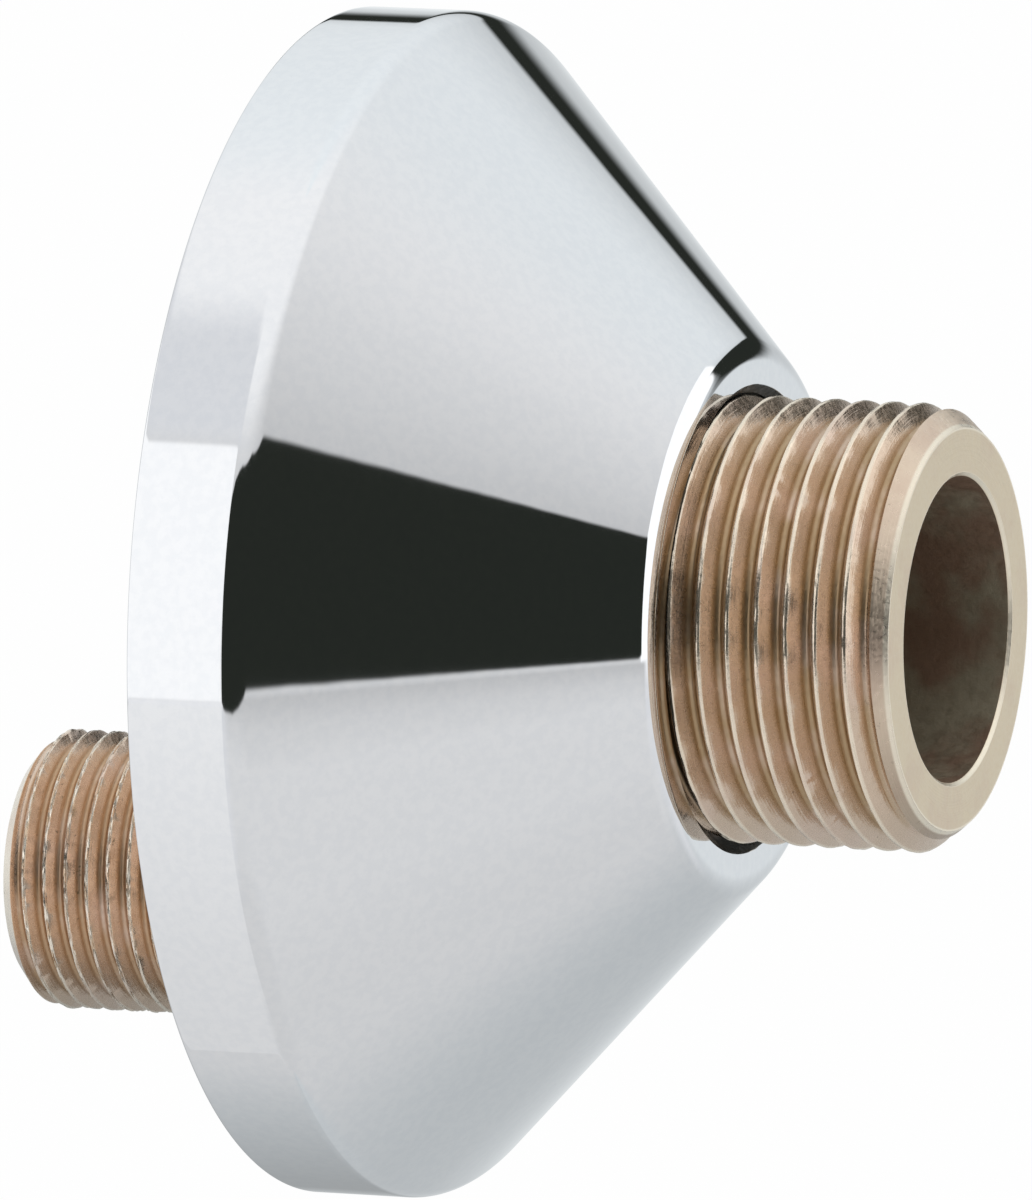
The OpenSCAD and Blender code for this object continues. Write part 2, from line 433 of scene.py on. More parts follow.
def smooth_noise(position, period, samples=4096):
    """Repeatable soft noise from -1 to 1 along a line."""
    table = chance.uniform(-1, 1, samples)
    spot = position / period
    low = np.floor(spot).astype(int)
    part = spot - low
    part = part * part * (3 - 2 * part)
    return table[low % samples] * (1 - part) + table[(low + 1) % samples] * part


def wear(turn, layers):
    return sum(size * smooth_noise(turn, period) for size, period in layers)


def crest_share(phase):
    """1 in the middle of the crest, 0 from CREST_REACH of a turn away."""
    return np.clip(1 - np.abs((phase + 0.5) % 1.0 - 0.5) / CREST_REACH, 0, 1)


def barrel_radius(phase, along, turn):
    return thread_radius(phase, MIXER) + crest_share(phase) * wear(turn, DINGS)


def nipple_radius(phase, along, turn):
    return thread_radius(phase, WALL) + crest_share(phase) * NICK_DEPTH * np.clip(wear(turn, NICKS), *NICK_LIMITS)


def even_ends(radius_rule, first, last, end_r):
    """The same rule, with both ends of the sleeve at one radius so that they close in a flat ring."""
    def rule(phase, along, turn):
        to_end = np.minimum(along - first, last - along)
        return np.where(to_end < 1e-6, end_r, radius_rule(phase, along, turn))
    return rule


def combine(target, tool, operation):
    step = target.modifiers.new(operation.lower(), "BOOLEAN")
    step.operation, step.solver, step.object = operation, "MANIFOLD", tool
    shape = bpy.data.meshes.new_from_object(target.evaluated_get(bpy.context.evaluated_depsgraph_get()))
    target.modifiers.clear()
    target.data = shape
    bpy.data.objects.remove(tool)


def threaded_end(name, place, thread, blank, segments, radius_rule):
    """blank: (along, radius) corners of the turned blank."""
    first, last = blank[0][0] - SLEEVE_OVERRUN, blank[-1][0] + SLEEVE_OVERRUN
    rule = even_ends(radius_rule, first, last, thread["root_r"])
    winding = winding_grid(place, thread, first, last, segments, rule)
    sleeve = link_object(name, solid_mesh(name + "_sleeve", [winding]))
    turned = link_object("blank", solid_mesh(name + "_blank", [lathe_grid(place, blank, segments)]))
    combine(sleeve, turned, "INTERSECT")
    return sleeve


barrel_blank = [(BARREL["back"], BARREL["major_r"] - BARREL["back_taper"]),
                (BARREL["back"] + BARREL["back_taper"], BARREL["major_r"]),
                (BARREL["front"] - BARREL["chamfer"], BARREL["major_r"]),
                (BARREL["front"], BARREL["major_r"] - BARREL["fall"])]
nipple_blank = [(NIPPLE["foot"], NIPPLE["major_r"]), (NIPPLE["end"] - NIPPLE["chamfer"], NIPPLE["major_r"]),
                (NIPPLE["end"], NIPPLE["major_r"] - NIPPLE["fall"])]
barrel = threaded_end("barrel", on_mixer_axis, MIXER, barrel_blank, BARREL_SEGMENTS, barrel_radius)
nipple = threaded_end("nipple", on_wall_axis, WALL, nipple_blank, NIPPLE_SEGMENTS, nipple_radius)
print("threaded ends:", len(barrel.data.polygons), len(nipple.data.polygons), "faces")

# %% [markdown]
# The neck is an S of two equal arcs, tangent to both axes. A round bar swept along it makes the neck, and the same
# sweep with the drill sizes at its two ends makes the waterway. The path stays in one plane, so each ring only
# leans forward or back and the sweep can't twist.

# %% Bent neck and waterway
NECK_LENGTH = 20.0
NECK_R, WATER_R, PILOT_R, BORE_R, STEP = 9.0, 5.75, 6.05, 9.0, 0.3
NECK_STEPS, NECK_SEGMENTS = 48, 96
WATER_STEPS, WATER_SEGMENTS = 40, 128
HAIR = 0.01
# Distances into the room. A bevel's flare is how much it widens, and "clear" is well outside the metal.
NIPPLE_MOUTH = {"clear": -21.0, "bevel_out": -19.9, "bevel_in": -19.1, "flare": 0.9}
BORE = {"cone_back": 23.03, "back": 24.8, "last_ring": 38.0, "bevel_in": 38.1, "bevel_out": 38.5, "clear": 39.5,
        "flare": 0.4}
bend_r = (AXIS_HEIGHT ** 2 + NECK_LENGTH ** 2) / (4 * AXIS_HEIGHT)
bend_angle = 2 * math.atan(AXIS_HEIGHT / NECK_LENGTH)


def neck_point(share):
    """Distance into the room, height and lean of the S at a share of its length."""
    lean = bend_angle * min(share, 1 - share) * 2
    out, up = bend_r * math.sin(lean), bend_r * (1 - math.cos(lean))
    return (out, up, lean) if share <= 0.5 else (NECK_LENGTH - out, AXIS_HEIGHT - up, lean)


def straight(axis_height, *places):
    """Stations on one of the two axes, from (distance into the room, radius)."""
    return [(out, axis_height, 0, radius) for out, radius in places]


def sweep_grid(stations, segments):
    """stations: (distance into the room, height, lean, radius)."""
    out, up, lean, radius = (np.array(v)[:, None] for v in zip(*stations))
    angle = 2 * math.pi * np.arange(segments)[None, :] / segments
    across = radius * np.cos(angle)
    points = np.stack([radius * np.sin(angle), -(out - across * np.sin(lean)), up + across * np.cos(lean)], -1)
    return points.reshape(-1, 3), ring_faces(len(stations), segments)


neck_stations = [(*neck_point(i / NECK_STEPS), NECK_R) for i in range(NECK_STEPS + 1)]
s_stations = [(*neck_point(i / WATER_STEPS), WATER_R) for i in range(1, WATER_STEPS)]
water_stations = [
    *straight(0, (NIPPLE_MOUTH["clear"], PILOT_R + NIPPLE_MOUTH["flare"]),
              (NIPPLE_MOUTH["bevel_out"], PILOT_R + NIPPLE_MOUTH["flare"]), (NIPPLE_MOUTH["bevel_in"], PILOT_R),
              (STEP, PILOT_R), (STEP, WATER_R + HAIR)),
    *s_stations,
    *straight(AXIS_HEIGHT, (NECK_LENGTH - STEP, WATER_R + HAIR), (NECK_LENGTH - STEP, PILOT_R),
              (BORE["cone_back"], PILOT_R), (BORE["back"], BORE_R), (BORE["last_ring"], BORE_R),
              (BORE["bevel_in"], BORE_R), (BORE["bevel_out"], BORE_R + BORE["flare"]),
              (BORE["clear"], BORE_R + BORE["flare"])),
]
neck = link_object("neck", solid_mesh("neck", [sweep_grid(neck_stations, NECK_SEGMENTS)]))
waterway = link_object("waterway", solid_mesh("waterway", [sweep_grid(water_stations, WATER_SEGMENTS)]))

# %% [markdown]
# The real casting is one piece of metal, so its parts are joined by booleans. Parts that only overlap would hide
# faces inside the metal. Where a thread runs out on a chamfer or a cone, the booleans leave some collapsed faces.

# %% Join the casting and cut the waterway
for tool, operation in ((nipple, "UNION"), (barrel, "UNION"), (waterway, "DIFFERENCE")):
    combine(neck, tool, operation)
union = neck
union.name = union.data.name = "brass_union"
print("union:", len(union.data.polygons), "faces")

# %% [markdown]
# ## The cover
#
# The real cover is drawn or turned from one piece: a short rim, a round shoulder, a straight cone, a round nose and
# a flat ring at the mouth, with a threaded collar behind it. A lathe profile is the natural way to make it. The
# reflections show every flaw of the shape, so each fillet is a true arc, with a close pair of rings where it meets
# a straight part. The collar's thread is wound like the body's, a little wider, so that the two mesh without
# touching.

# %% Cover profile
COVER = {"r": 35.0, "rim": 6.7, "depth": 25.2, "shoulder": 1.8, "nose": 2.0, "wall": 1.2, "ring": 2.6,
         "collar_wall": 1.7, "collar_back": 19.2, "gap": 0.09, "bevel": 0.5, "rim_edge": 0.2}
COLLAR_LEAD, COLLAR_EDGE, FILLET = 0.4, 0.3, 0.5
COVER_SEGMENTS = 360
collar_bore = BARREL["major_r"] + COVER["gap"]
collar_back = COVER["collar_back"]
mouth_r = collar_bore + COVER["ring"]
collar_r = collar_bore + COVER["collar_wall"]
cone_angle = math.atan2(COVER["r"] - mouth_r, COVER["depth"] - COVER["rim"])
inner_r = COVER["r"] - COVER["wall"]
inner_rim = COVER["rim"] - COVER["wall"] * math.tan(cone_angle / 2)
inner_end = inner_rim + (inner_r - collar_r) / math.tan(cone_angle)


def arc(centre, radius, start, end, count):
    """Points of an arc. An angle of 0 points away from the axis, 90 degrees towards the room."""
    return [(centre[0] + radius * math.sin(a), centre[1] + radius * math.cos(a))
            for a in np.linspace(start, end, count)]


def line(start, end, shares):
    """Points between start and end, at these shares of the way."""
    return [tuple(np.array(start) + (np.array(end) - np.array(start)) * s) for s in shares]


edge = COVER["rim_edge"]
shoulder_start = COVER["rim"] - COVER["shoulder"] * math.tan(cone_angle / 2)
shoulder = arc((shoulder_start, COVER["r"] - COVER["shoulder"]), COVER["shoulder"], 0, cone_angle, 26)
nose_centre = (COVER["depth"] - COVER["nose"], mouth_r - COVER["nose"] * math.tan(math.pi / 4 - cone_angle / 2))
nose = arc(nose_centre, COVER["nose"], cone_angle, math.pi / 2, 20)
outside = arc((edge, COVER["r"] - edge), edge, -math.pi / 2, 0, 7)
outside += line(outside[-1], shoulder[0], (0.04, 0.3, 0.7, 0.97)) + shoulder
outside += line(shoulder[-1], nose[0], (0.004, 0.02, 0.2, 0.5, 0.8, 0.98, 0.996)) + nose
bevel_out = (COVER["depth"], collar_bore + COVER["bevel"])
outside += line(nose[-1], bevel_out, (0.04, 0.5, 0.97, 1.0))
thread_front = (COVER["depth"] - COVER["bevel"], collar_bore)
thread_back = (collar_back + COLLAR_LEAD, collar_bore)
outside += line(bevel_out, thread_front, (0.05, 0.95, 1.0))
inside = [thread_back, (collar_back + 0.02, collar_bore + 0.36), (collar_back, collar_bore + COLLAR_LEAD),
          (collar_back, collar_r - COLLAR_EDGE), (collar_back + COLLAR_EDGE, collar_r)]
inside += line((collar_back + 0.5, collar_r), (inner_end - 0.6, collar_r), (0, 0.5, 1))
inside += line((inner_end - FILLET, collar_r + FILLET), (inner_rim, inner_r), (0.0, 0.03, 0.3, 0.6, 0.97, 1.0))
inside += line((inner_rim - 0.3, inner_r), (edge, inner_r), (0, 0.5, 1)) + [(0, inner_r + edge)]
inside += [outside[0]]
print("profile points:", len(outside), "outside,", len(inside), "inside")

# %% [markdown]
# The collar's thread is the body's own, widened by a small play. At both ends of the collar its ridges fade into the
# plain bore, so that the thread joins the turned part without a gap.

# %% Cover mesh
THREAD_PLAY = 0.13
RUN_OUT_SLOPE = 1.4


def collar_radius(phase, along, turn):
    nested = np.minimum(thread_radius(phase, MIXER) + THREAD_PLAY, collar_bore)
    to_end = np.minimum(thread_front[0] - along, along - thread_back[0])
    return np.maximum(nested, collar_bore - np.maximum(to_end, 0) * RUN_OUT_SLOPE)


collar_grid = winding_grid(on_mixer_axis, MIXER, thread_back[0], thread_front[0], COVER_SEGMENTS, collar_radius)
cover_mesh = solid_mesh("chrome_cover", [lathe_grid(on_mixer_axis, outside, COVER_SEGMENTS), collar_grid,
                                         lathe_grid(on_mixer_axis, inside, COVER_SEGMENTS)])
cover = link_object("chrome_cover", cover_mesh)
print("cone angle", round(math.degrees(cone_angle), 1), "inner cone ends at", round(inner_end, 2), "mm")

# %% [markdown]
# ## Finishes
#
# Three effects come back in several finishes, so each is a node group: an uneven grain, the fine rings of a turning
# tool, and specks of dirt or oxide. A group only puts out values that change over the surface.
#
# Grain is noise at two scales: a fine one for the texture of the metal, and a wide one for its clouds.

# %% Node group: uneven grain
def new_group(name, inputs, outputs):
    group = bpy.data.node_groups.new(name, "ShaderNodeTree")
    for label, kind, default in inputs:
        socket = group.interface.new_socket(label, in_out="INPUT", socket_type=kind)
        if default is not None:
            socket.default_value = default
    for label in outputs:
        group.interface.new_socket(label, in_out="OUTPUT", socket_type="NodeSocketFloat")
    return group, group.nodes.new("NodeGroupInput"), group.nodes.new("NodeGroupOutput")


grain_group, grain_in, grain_out = new_group("uneven_grain", [
    ("Vector", "NodeSocketVector", None), ("Fine Scale", "NodeSocketFloat", 2500.0),
    ("Cloud Scale", "NodeSocketFloat", 180.0)], ["Fine", "Cloud"])
for label, scale, detail in (("Fine", "Fine Scale", 3.0), ("Cloud", "Cloud Scale", 4.0)):
    noise = node(grain_group, "ShaderNodeTexNoise", {"Vector": grain_in.outputs["Vector"],
                                                     "Scale": grain_in.outputs[scale], "Detail": detail})
    grain_group.links.new(noise.outputs["Fac"], grain_out.inputs[label])
print(grain_group.name, len(grain_group.nodes), "nodes")

# %% [markdown]
# A turning tool leaves rings round the axis. The noise hardly changes with the angle, so it is drawn out into
# rings. The group puts out the radius as well, and the finishes find an edge by it.

# %% Node group: turning marks
RING_DRIFT = 0.00012
rings_group, rings_in, rings_out = new_group("turning_marks", [
    ("Vector", "NodeSocketVector", None), ("Axis Height", "NodeSocketFloat", AXIS_HEIGHT * MM),
    ("Scale", "NodeSocketFloat", 9000.0)], ["Height", "Radius"])
split = node(rings_group, "ShaderNodeSeparateXYZ", {"Vector": rings_in.outputs["Vector"]})
from_axis = calc(rings_group, "SUBTRACT", split.outputs["Z"], rings_in.outputs["Axis Height"])
radius = calc(rings_group, "SQRT", calc(rings_group, "ADD", calc(rings_group, "POWER", split.outputs["X"], 2.0),
                                        calc(rings_group, "POWER", from_axis, 2.0)))
swirl = calc(rings_group, "ARCTAN2", split.outputs["X"], from_axis)
track = node(rings_group, "ShaderNodeCombineXYZ", {"X": radius, "Y": split.outputs["Y"],
                                                   "Z": calc(rings_group, "MULTIPLY", swirl, RING_DRIFT)})
tool_noise = node(rings_group, "ShaderNodeTexNoise", {"Vector": track.outputs[0],
                                                      "Scale": rings_in.outputs["Scale"], "Detail": 2.0})
rings_group.links.new(tool_noise.outputs["Fac"], rings_out.inputs["Height"])
rings_group.links.new(radius, rings_out.inputs["Radius"])
print(rings_group.name, len(rings_group.nodes), "nodes")

# %% [markdown]
# Dirt and oxide sit in small, sharp-edged specks, so detailed noise is cut off at a level. More dirt lowers it.

# %% Node group: specks
SPECK_LEVEL, SPECK_REACH, SPECK_EDGE = 0.78, 0.35, 0.10
specks_group, specks_in, specks_out = new_group("specks", [
    ("Vector", "NodeSocketVector", None), ("Scale", "NodeSocketFloat", 900.0), ("Amount", "NodeSocketFloat", 0.4)],
    ["Mask"])
speck_noise = node(specks_group, "ShaderNodeTexNoise", {"Vector": specks_in.outputs["Vector"],
                                                        "Scale": specks_in.outputs["Scale"], "Detail": 5.0,
                                                        "Roughness": 0.65})
speck_low = calc(specks_group, "SUBTRACT", SPECK_LEVEL,
                 calc(specks_group, "MULTIPLY", specks_in.outputs["Amount"], SPECK_REACH))
speck_high = calc(specks_group, "ADD", speck_low, SPECK_EDGE)
speck_mask = ease(specks_group, speck_noise.outputs["Fac"], speck_low, speck_high)
specks_group.links.new(speck_mask, specks_out.inputs["Mask"])
print(specks_group.name, len(specks_group.nodes), "nodes")

# %% [markdown]
# Every finish takes the same few steps: a shader, the effects, a colour and a roughness that change over the
# surface, and a bump. They are helpers, so that a finish below says only what is its own.

# %% Material helpers
def place_group(tree, group, inputs):
    return node(tree, "ShaderNodeGroup", inputs, node_tree=group)


def new_material(name):
    material = bpy.data.materials.new(name)
    material.use_nodes = True
    tree = material.node_tree
    tree.nodes.clear()
    shader = tree.nodes.new("ShaderNodeBsdfPrincipled")
    node(tree, "ShaderNodeOutputMaterial", {"Surface": shader.outputs[0]})
    position = node(tree, "ShaderNodeTexCoord").outputs["Object"]
    return material, tree, shader, position


def place_grain(tree, position, fine_scale, cloud_scale):
    return place_group(tree, grain_group, {"Vector": position, "Fine Scale": fine_scale, "Cloud Scale": cloud_scale})


def dress(tree, shader, colour, metallic, roughness):
    tree.links.new(colour, shader.inputs["Base Color"])
    shader.inputs["Metallic"].default_value = metallic
    tree.links.new(roughness, shader.inputs["Roughness"])


def connect_bump(tree, shader, height, strength, distance):
    bump = node(tree, "ShaderNodeBump", {"Height": height, "Strength": strength, "Distance": distance})
    tree.links.new(bump.outputs[0], shader.inputs["Normal"])


def rough_metal(name, scales, dark, light, metallic, rough_range, bump, cloud_range=None):
    """A metal with a cloudy colour and a grainy skin. bump: strength and distance in metres."""
    material, tree, shader, position = new_material(name)
    grain = place_grain(tree, position, *scales)
    cloud = ease(tree, grain.outputs["Cloud"], *cloud_range) if cloud_range else grain.outputs["Cloud"]
    dress(tree, shader, blend(tree, cloud, dark, light), metallic,
          ease(tree, grain.outputs["Fine"], 0.3, 0.7, *rough_range))
    connect_bump(tree, shader, grain.outputs["Fine"], *bump)
    return material


# %% [markdown]
# Polished chrome is a metal with almost no roughness. The plate isn't perfectly even, so a very weak, wide bump
# bends the reflections a little, a fine grain changes the tone, and wide clouds change the roughness. Inside, the
# cover is plated but never polished, so it is dull with turning marks. The collar's thread is painted almost
# black: painted shade for the dark gap between the cover's mouth and the thread.

# %% Chrome
chrome, tree, shader, position = new_material("polished_chrome")
grain = place_grain(tree, position, 1700.0, 60.0)
dress(tree, shader,
      blend(tree, ease(tree, grain.outputs["Fine"], 0.35, 0.65), (0.825, 0.842, 0.868), (0.855, 0.868, 0.888)),
      1.0, ease(tree, grain.outputs["Cloud"], 0.3, 0.7, 0.02, 0.045))
connect_bump(tree, shader, grain.outputs["Cloud"], 0.04, 0.0004)

dull_chrome, tree, shader, position = new_material("dull_plate")
marks = place_group(tree, rings_group, {"Vector": position, "Scale": 5000.0})
grain = place_grain(tree, position, 2600.0, 120.0)
dress(tree, shader, blend(tree, grain.outputs["Cloud"], (0.70, 0.70, 0.70), (0.80, 0.805, 0.81)),
      1.0, ease(tree, grain.outputs["Fine"], 0.3, 0.7, 0.34, 0.44))
connect_bump(tree, shader, marks.outputs["Height"], 0.15, 0.00004)

# Painted shade: the collar's thread is coloured almost black for the dark gap at the cover's mouth.
collar_painted_shade = rough_metal("painted_shade_collar", (2200.0, 400.0), (0.030, 0.030, 0.026), (0.10, 0.11, 0.105), 0.7,
                          rough_range=(0.3, 0.5), bump=(0.4, 0.00008))
print("cover finishes:", chrome.name, dull_chrome.name, collar_painted_shade.name)

# %% [markdown]
# Brass shows three skins on this part. The threads and faces are cut, pale and rather bright. On the threads the
# crests are painted lighter and the roots darker: a painted highlight along the crests and painted shade in the
# roots. The bore is rough and dark. The neck keeps its matt casting skin. How deep a point lies in its groove is
# written on the mesh as a number from 0 to 1, because the mesh knows it exactly.

# %% Groove depth on the mesh
points = np.empty(len(union.data.vertices) * 3)
union.data.vertices.foreach_get("co", points)
points = points.reshape(-1, 3) / MM
mixer_r = np.hypot(points[:, 0], points[:, 2] - AXIS_HEIGHT)
wall_r = np.hypot(points[:, 0], points[:, 2])


def below_blank(radius, to_end, end, thread):
    """How deep a point lies under the crests or the chamfer, as a share of the thread's depth."""
    skin = np.minimum(thread["crest_r"], end["major_r"] - end["fall"] + to_end * end["fall"] / end["chamfer"])
    return (skin - radius) / (thread["crest_r"] - thread["root_r"])


in_mixer = (-points[:, 1] > BARREL["back"]) & (mixer_r > BORE_R + 1)
in_wall = (points[:, 1] > 0) & (wall_r > PILOT_R + 0.5)
depth = np.where(in_mixer, below_blank(mixer_r, BARREL["front"] + points[:, 1], BARREL, MIXER), 0.0)
depth = np.where(in_wall, below_blank(wall_r, NIPPLE["end"] - points[:, 1], NIPPLE, WALL), depth)
groove = union.data.attributes.new("groove", "FLOAT", "POINT")
groove.data.foreach_set("value", np.clip(depth, 0, 1).astype(np.float32))
print("points in a groove:", int((depth > 0.5).sum()), "of", len(depth))

# %% [markdown]
# One recipe serves all cut brass. It goes from crest to root by the depth of the groove, which paints a highlight on
# the crests and shade in the roots, lays rosy clouds and specks of dirt over that, and adds turning marks. Two extras
# are for single places: a painted highlight, a thin bright line where two cuts meet, and painted shade towards the
# underside, where the nipple and the chamfer are darker.

# %% Cut brass
# Tone of the painted highlight on edges, and how fast it fades.
EDGE_HIGHLIGHT = (0.97, 0.89, 0.74)
EDGE_FADE = (0.00004, 0.00016)
# Share of the specks, and share of the painted shade towards the underside.
SPOT_COVER, UNDERSIDE_SHADE_SHARE = 0.8, 0.45


def cut_brass(name, crest, flank, root, rosy, dirt_and_shade, axis_height, spot_amount, rough_range, painted_edge_highlights=(),
              painted_shade_below=None):
    """painted_edge_highlights: radii in mm of thin painted highlights. painted_shade_below: heights in metres between
    which the painted shade towards the underside fades out.
    """
    material, tree, shader, position = new_material(name)
    deep = node(tree, "ShaderNodeAttribute", attribute_name="groove").outputs["Fac"]
    grain = place_grain(tree, position, 3000.0, 260.0)
    marks = place_group(tree, rings_group, {"Vector": position, "Axis Height": axis_height, "Scale": 9000.0})
    spots = place_group(tree, specks_group, {"Vector": position, "Scale": 1400.0, "Amount": spot_amount})
    # Crest to root: painted highlight on the crests, painted shade in the roots.
    colour = blend(tree, ease(tree, deep, 0.02, 0.13), crest, flank)
    colour = blend(tree, ease(tree, deep, 0.55, 0.95), colour, root)
    colour = blend(tree, ease(tree, grain.outputs["Cloud"], 0.45, 0.7, 0.0, 0.6), colour, rosy)
    colour = blend(tree, calc(tree, "MULTIPLY", spots.outputs["Mask"], SPOT_COVER), colour, dirt_and_shade)
    # Painted shade: darker towards the underside, in the tone of the specks.
    if painted_shade_below:
        height = node(tree, "ShaderNodeSeparateXYZ", {"Vector": position}).outputs["Z"]
        colour = blend(tree, ease(tree, height, *painted_shade_below, UNDERSIDE_SHADE_SHARE, 0.0), colour, dirt_and_shade)
    # Painted highlight: a thin bright line at each listed edge radius.
    for edge in painted_edge_highlights:
        off_edge = calc(tree, "ABSOLUTE", calc(tree, "SUBTRACT", marks.outputs["Radius"], edge * MM))
        colour = blend(tree, ease(tree, off_edge, *EDGE_FADE, 0.9, 0.0), colour, EDGE_HIGHLIGHT)
    rough = calc(tree, "ADD", ease(tree, grain.outputs["Fine"], 0.3, 0.7, *rough_range),
                 calc(tree, "MULTIPLY", spots.outputs["Mask"], 0.2))
    rough = calc(tree, "ADD", rough, ease(tree, deep, 0.6, 1.0, 0.0, 0.12))
    dress(tree, shader, colour, 0.9, rough)
    relief = calc(tree, "ADD", calc(tree, "MULTIPLY", marks.outputs["Height"], 0.6),
                  calc(tree, "MULTIPLY", grain.outputs["Fine"], 0.8))
    connect_bump(tree, shader, relief, 0.35, 0.00006)
    return material


MIXER_AXIS, WALL_AXIS = AXIS_HEIGHT * MM, 0.0
LEAD_EDGE = BARREL["major_r"] - BARREL["fall"]
CHAMFER_TONE, FACE_TONE = (0.80, 0.66, 0.52), (0.76, 0.65, 0.48)
# Painted highlight on the crests and painted shade in the roots, through the crest, flank and root tones.
thread_brass = cut_brass("thread_brass", crest=(0.92, 0.81, 0.66), flank=(0.70, 0.555, 0.43),
                         root=(0.48, 0.34, 0.20), rosy=(0.74, 0.58, 0.48), dirt_and_shade=(0.11, 0.09, 0.07),
                         axis_height=MIXER_AXIS, spot_amount=0.28, rough_range=(0.17, 0.29))
# Painted shade: the nipple is darker towards its underside.
nipple_brass = cut_brass("nipple_brass", crest=(1.0, 0.92, 0.80), flank=(0.76, 0.60, 0.475),
                         root=(0.58, 0.39, 0.24), rosy=(0.80, 0.64, 0.55), dirt_and_shade=(0.10, 0.09, 0.06),
                         axis_height=WALL_AXIS, spot_amount=0.42, rough_range=(0.20, 0.32),
                         painted_shade_below=(-0.0082, -0.0015))
# Painted shade on the lower part of the chamfer, and a painted highlight along its lead edge.
chamfer_brass = cut_brass("chamfer_brass", crest=CHAMFER_TONE, flank=CHAMFER_TONE, root=CHAMFER_TONE,
                          rosy=(0.66, 0.50, 0.40), dirt_and_shade=(0.22, 0.17, 0.12), axis_height=MIXER_AXIS,
                          spot_amount=0.42, rough_range=(0.26, 0.42), painted_edge_highlights=(LEAD_EDGE + 0.1,),
                          painted_shade_below=(0.0075, 0.0170))
# Painted highlights along the bore's edge and the lead edge.
face_brass = cut_brass("face_brass", crest=FACE_TONE, flank=FACE_TONE, root=FACE_TONE,
                       rosy=(0.70, 0.56, 0.43), dirt_and_shade=(0.42, 0.33, 0.25), axis_height=MIXER_AXIS,
                       spot_amount=0.14, rough_range=(0.28, 0.40), painted_edge_highlights=(BORE_R + 0.12, LEAD_EDGE))
print("cut brass:", thread_brass.name, nipple_brass.name, chamfer_brass.name, face_brass.name)

# %% [markdown]
# The bore is dark and stained in the photograph, so it is only partly metallic. The neck can't be seen there, and its
# coarse, matt casting skin is a guess.

# %% Bore and casting skin
bore_brass = rough_metal("bore_brass", (1500.0, 220.0), (0.30, 0.20, 0.14), (0.38, 0.34, 0.25), 0.6,
                         rough_range=(0.45, 0.7), bump=(0.5, 0.0001), cloud_range=(0.38, 0.60))
cast_brass = rough_metal("cast_brass", (1300.0, 150.0), (0.50, 0.37, 0.22), (0.64, 0.50, 0.32), 1.0,
                         rough_range=(0.45, 0.65), bump=(0.7, 0.00015), cloud_range=(0.3, 0.7))
print("rough brass:", bore_brass.name, cast_brass.name)

# %% [markdown]
# Which tool last touched a face can be told from where it lies and which way it looks. So the faces are sorted by
# their centres and normals. The waterway's bend is found by the distance to the S that it was swept along.

# %% Give each face of the union its finish
CREASE = math.radians(38)


def face_values(mesh):
    """Centre of each face in mm, and its normal."""
    count = len(mesh.polygons)
    centres, normals = np.empty(count * 3), np.empty(count * 3)
    mesh.polygons.foreach_get("center", centres)
    mesh.polygons.foreach_get("normal", normals)
    return centres.reshape(-1, 3) / MM, normals.reshape(-1, 3)


def give_finishes(piece, finishes, finish):
    """finish: for each face, its place in the list of finishes. Edges sharper than CREASE stay sharp."""
    piece.data.materials.clear()
    for material in finishes:
        piece.data.materials.append(material)
    piece.data.polygons.foreach_set("material_index", finish.astype(np.int32))
    piece.data.shade_smooth()
    piece.data.set_sharp_from_angle(angle=CREASE)
    print(piece.name, {m.name: int((finish == i).sum()) for i, m in enumerate(finishes)})


UNION_FINISHES = (thread_brass, nipple_brass, bore_brass, cast_brass, face_brass, chamfer_brass)
THREAD, NIPPLE_SKIN, BORE_SKIN, CASTING, FACE, CHAMFER = range(len(UNION_FINISHES))
S_SAMPLES = 81
centres, normals = face_values(union.data)
off_mixer = np.hypot(centres[:, 0], centres[:, 2] - AXIS_HEIGHT)
off_wall = np.hypot(centres[:, 0], centres[:, 2])
out = -centres[:, 1]
finish = np.full(len(centres), CASTING)
finish[(out > BARREL["back"] - 0.01) & (off_mixer > BORE_R + 0.3)] = THREAD
finish[(out < 0.01) & (off_wall > PILOT_R + 0.3)] = NIPPLE_SKIN
nearest = np.full(len(centres), np.inf)
for share in np.linspace(0, 1, S_SAMPLES):
    spot_out, spot_up, _ = neck_point(share)
    to_spot = np.sqrt(centres[:, 0] ** 2 + (out - spot_out) ** 2 + (centres[:, 2] - spot_up) ** 2)
    nearest = np.minimum(nearest, to_spot)
finish[nearest < WATER_R + 0.4] = BORE_SKIN
finish[(out > 19) & (off_mixer < BORE_R + 0.05)] = BORE_SKIN
finish[(out < 0.5) & (off_wall < PILOT_R + 0.05)] = BORE_SKIN
finish[(out > BARREL["front"] - 0.25) & ((normals[:, 1] < -0.6) | (off_mixer > BORE_R + 0.02))] = FACE
finish[(out < 0.3 - NIPPLE["end"]) & (normals[:, 1] > 0.9)] = NIPPLE_SKIN
to_front = BARREL["front"] - out
on_lead = np.abs(off_mixer - LEAD_EDGE - to_front * BARREL["fall"] / BARREL["chamfer"]) < 0.03
finish[on_lead & (to_front > 0.001) & (normals[:, 1] < -0.5)] = CHAMFER
give_finishes(union, UNION_FINISHES, finish)
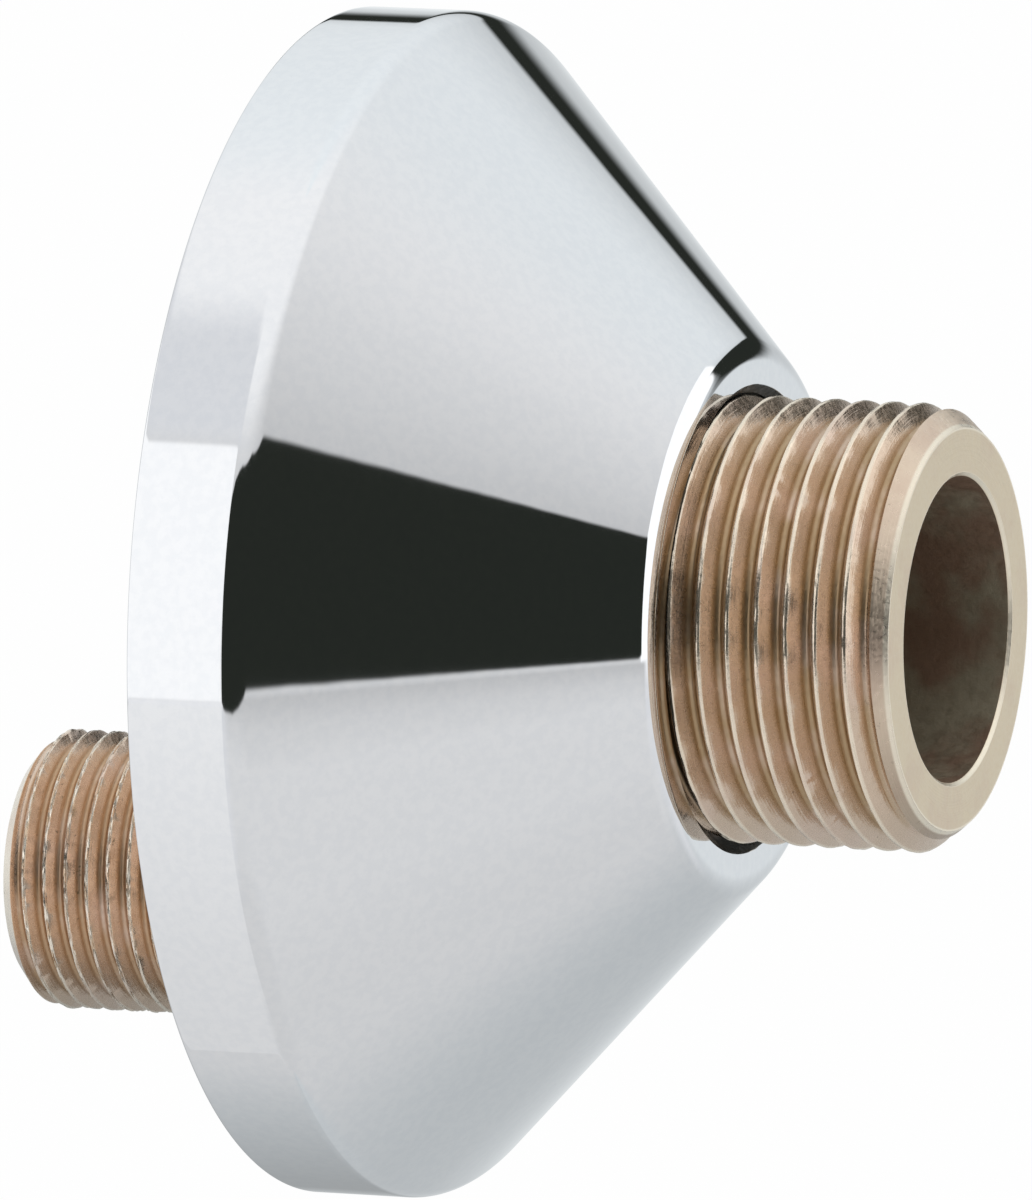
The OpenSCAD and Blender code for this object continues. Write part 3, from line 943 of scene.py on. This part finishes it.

# %% [markdown]
# On the cover a line just outside the inner skin parts the polished outside from the dull inside, and all that lies
# in the collar's bore gets the collar's painted shade, almost black.

# %% Give each face of the cover its finish
COVER_FINISHES = (chrome, dull_chrome, collar_painted_shade)
POLISHED, DULL, SHADED_COLLAR = range(len(COVER_FINISHES))
SKIN_MARGIN = 0.3
centres, normals = face_values(cover.data)
off_mixer = np.hypot(centres[:, 0], centres[:, 2] - AXIS_HEIGHT)
out = -centres[:, 1]
skin = np.minimum(inner_r + SKIN_MARGIN, inner_r - (out - inner_rim) * math.tan(cone_angle) + SKIN_MARGIN)
finish = np.where((off_mixer < skin) & (out < COVER["depth"] - 0.1), DULL, POLISHED)
# Painted shade on all that lies in the collar's bore.
finish[off_mixer < collar_bore + COVER["bevel"] - 0.02] = SHADED_COLLAR
give_finishes(cover, COVER_FINISHES, finish)

# %% [markdown]
# ## Bodies and floor
#
# The union stays with the wall, and the cover slides along the thread, so each mesh rides on its own body and
# stands for its CAD solid.

# %% Ride and replace
for piece, body, cad_node, finish_slot in ((union, "union", "union_body", "brass"),
                                           (cover, "cover", "escutcheon", "chrome")):
    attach(piece, body)
    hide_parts(cad_node)
    print(piece.name, "rides on", body, "for", cad_node)

# %% [markdown]
# The part hangs on the wall pipe, so the floor lies well below it. The camera sees it almost wholly as white, and
# metal doesn't mirror it, since the world holds the tabletop. Seen from underneath it lets the view through.

# %% Floor
FLOOR_DROP, FLOOR_RADIUS = 0.25, 4.0
WHITE_TO_CAMERA = 0.96
floor_build = bmesh.new()
bmesh.ops.create_circle(floor_build, cap_ends=True, radius=FLOOR_RADIUS, segments=96)
floor_mesh = bpy.data.meshes.new("floor")
floor_build.to_mesh(floor_mesh)
floor_build.free()
floor = link_object("floor", floor_mesh)
floor.location.z = -FLOOR_DROP
floor.visible_glossy = False
pale, tree, shader, _ = new_material("pale_floor")
surface_in = shader.outputs[0].links[0].to_socket
shader.inputs["Base Color"].default_value = (0.95, 0.95, 0.95, 1)
shader.inputs["Roughness"].default_value = 0.9
glow = node(tree, "ShaderNodeEmission", {"Color": (1, 1, 1, 1), "Strength": 1.0})
ray = node(tree, "ShaderNodeLightPath")
seen_share = calc(tree, "MULTIPLY", ray.outputs["Is Camera Ray"], WHITE_TO_CAMERA)
lit = node(tree, "ShaderNodeMixShader", {0: seen_share, 1: shader.outputs[0], 2: glow.outputs[0]})
through = node(tree, "ShaderNodeBsdfTransparent")
below = node(tree, "ShaderNodeNewGeometry").outputs["Backfacing"]
surface = node(tree, "ShaderNodeMixShader", {0: below, 1: lit.outputs[0], 2: through.outputs[0]})
tree.links.new(surface.outputs[0], surface_in)
floor_mesh.materials.append(pale)
print("floor", FLOOR_DROP, "m below the origin")
